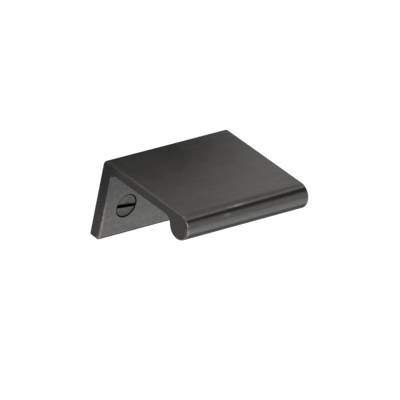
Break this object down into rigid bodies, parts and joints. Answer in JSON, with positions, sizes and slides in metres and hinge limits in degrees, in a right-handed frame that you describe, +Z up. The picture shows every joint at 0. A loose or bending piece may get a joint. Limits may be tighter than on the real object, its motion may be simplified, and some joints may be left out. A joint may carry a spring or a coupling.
{
  "type": "tab pull",
  "caption": "L-shaped tab pull with a flat top, a round finger bead under its front edge and a back plate held by slotted countersunk wood screws.",
  "frame": {"origin": "on the mounting face, midway between the screws and level with them", "axes": "+X along the pull to the right seen from the front, +Y into the surface that carries it, +Z up; the tab projects towards -Y"},
  "size_m": [0.0508, 0.0502, 0.0273],
  "materials": {
    "patinated_bronze": "dark patinated bronze, satin, slightly worn to lighter metal along its edges",
    "screw_metal": "dark patinated bronze, satin"
  },
  "bodies": {
    "root": {"pull_body": "patinated_bronze", "mounting_screws": "screw_metal"}
  },
  "joints": []
}
